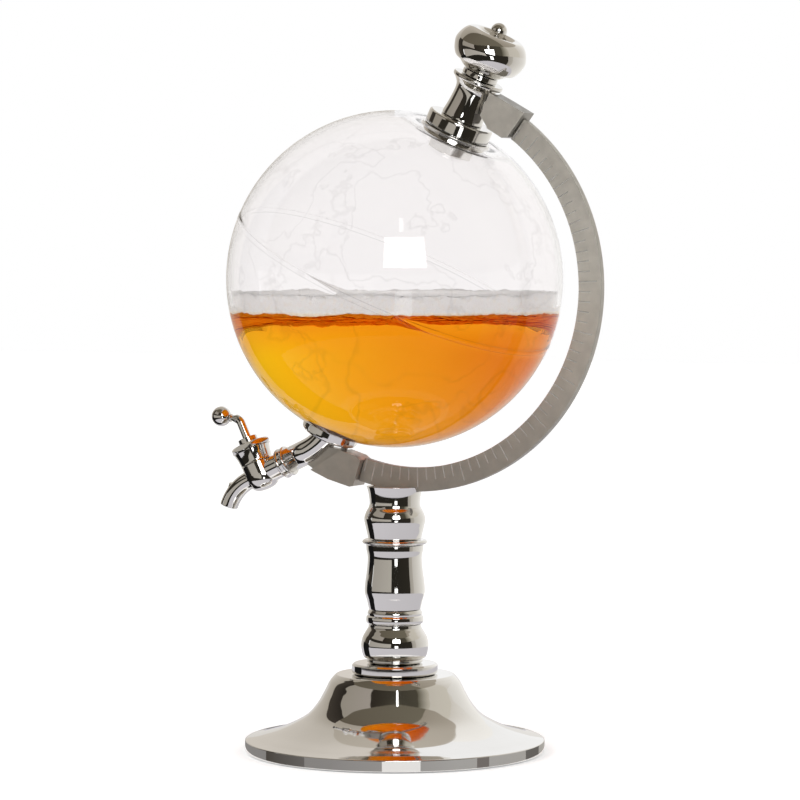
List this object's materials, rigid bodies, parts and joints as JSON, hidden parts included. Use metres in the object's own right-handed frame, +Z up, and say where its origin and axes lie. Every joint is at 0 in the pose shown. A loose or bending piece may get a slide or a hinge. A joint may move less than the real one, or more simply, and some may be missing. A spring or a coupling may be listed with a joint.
{
  "type": "draft beer dispenser",
  "caption": "Clear globe drink dispenser leaning in a graduated meridian arc on a turned column and bell foot, with a lift-out stopper and a quarter-turn tap.",
  "frame": {"origin": "centre of the foot's underside, on the surface that it stands on", "axes": "+Z up along the column; +X towards the side that the globe's top leans to and the arc is on, -X towards the tap; the arc lies in the XZ plane and its graduated face is towards -Y"},
  "size_m": [0.2594, 0.201, 0.4313],
  "materials": {
    "chrome_plate": "mirror-bright plate",
    "satin_nickel": "fine satin",
    "bright_steel": "plain turned",
    "cast_iron": "as cast",
    "black_rubber": "matt",
    "pale_silicone": "smooth silicone",
    "cock_brass": "lapped",
    "clear_globe": "clear, polished",
    "amber_beer": "clear amber liquid",
    "white_foam": "fine foam"
  },
  "bodies": {
    "stand": {"foot_bell": "chrome_plate", "column_collar": "chrome_plate", "column_lower_ring": "chrome_plate", "column_bulb": "chrome_plate", "column_ring": "chrome_plate", "column_vase": "chrome_plate", "column_disc": "chrome_plate", "column_cup": "chrome_plate", "upper_flange": "chrome_plate", "upper_collar": "chrome_plate", "upper_inner_nut": "chrome_plate", "filler_neck": "chrome_plate", "outlet_elbow": "chrome_plate", "lower_inner_nut": "chrome_plate", "coupling_nut": "chrome_plate", "tap_body": "chrome_plate", "tap_bonnet": "chrome_plate", "bonnet_cap": "chrome_plate", "meridian_arc": "satin_nickel", "upper_block": "satin_nickel", "lower_block": "satin_nickel", "foot_spacer": "bright_steel", "tie_rod": "bright_steel", "tie_rod_nut": "bright_steel", "tie_rod_washer": "bright_steel", "saddle_screw": "bright_steel", "upper_block_screw": "bright_steel", "neck_stud": "bright_steel", "lower_block_screw": "bright_steel", "flange_bolt": "bright_steel", "ballast_disc": "cast_iron", "foot_pad": "black_rubber", "gland_packing": "black_rubber", "upper_gasket": "black_rubber", "lower_gasket": "black_rubber", "upper_inner_gasket": "pale_silicone", "lower_inner_gasket": "pale_silicone", "thrust_washer": "cock_brass", "globe_upper_half": "clear_globe", "globe_lower_half": "clear_globe", "beer": "amber_beer", "beer_foam": "white_foam"},
    "lever": {"cock_plug": "cock_brass", "tap_lever": "chrome_plate", "lever_ball": "chrome_plate"},
    "stopper": {"stopper_plug": "chrome_plate", "stopper_seal_1": "pale_silicone", "stopper_seal_2": "pale_silicone", "stopper_knob": "chrome_plate", "stopper_finial": "chrome_plate"}
  },
  "joints": [
    {"name": "lever_turn", "type": "hinge", "parent": "stand", "child": "lever", "pos_m": [-0.09056, 0, 0.16291], "axis": [-0.4226, 0, 0.9063], "range_deg": [0, 90]},
    {"name": "stopper_lift", "type": "slide", "parent": "stand", "child": "stopper", "axis": [0.4258, 0, 0.9048], "range_m": [0, 0.045]}
  ]
}
